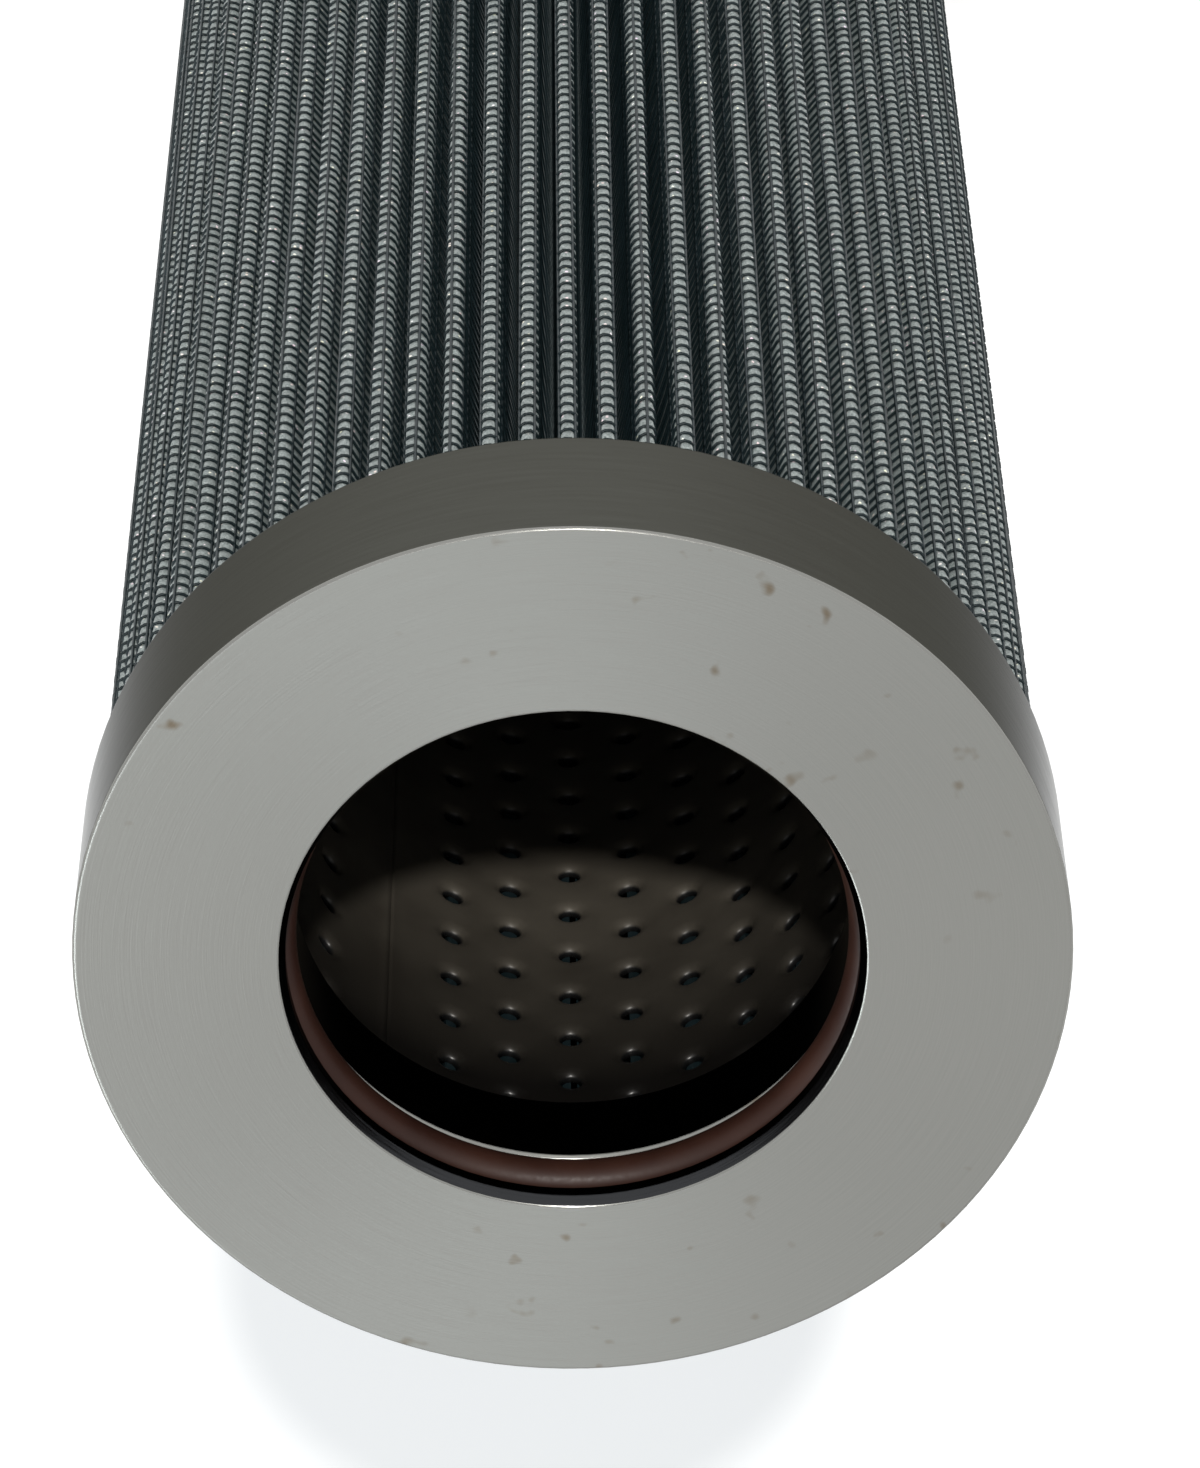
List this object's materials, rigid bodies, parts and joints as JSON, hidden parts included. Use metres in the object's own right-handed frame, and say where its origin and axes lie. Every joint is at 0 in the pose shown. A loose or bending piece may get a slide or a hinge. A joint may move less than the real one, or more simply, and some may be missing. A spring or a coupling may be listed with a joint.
{
  "type": "pleated filter element",
  "caption": "Pleated hydraulic filter element: mesh-backed pleats round a perforated core tube, with an O-ring bore in its open end cap and a blind cap at its foot.",
  "frame": {"origin": "centre of the closed cap's outer face, on which the element stands", "axes": "+Z along the element's axis, from the closed cap to the open cap's face"},
  "size_m": [0.078, 0.078, 0.21],
  "materials": {
    "cap_steel": "satin",
    "core_steel": "satin",
    "fkm_rubber": "satin",
    "coated_mesh": "satin",
    "inner_coated_mesh": "satin",
    "glass_mat": "matte",
    "adhesive": "satin"
  },
  "bodies": {
    "root": {"open_end_cap": "cap_steel", "closed_end_cap": "cap_steel", "bore_o_ring": "fkm_rubber", "core_tube": "core_steel", "inner_mesh": "inner_coated_mesh", "filter_media": "glass_mat", "outer_mesh": "coated_mesh", "side_seam": "adhesive", "open_end_potting": "adhesive", "closed_end_potting": "adhesive"}
  },
  "joints": []
}
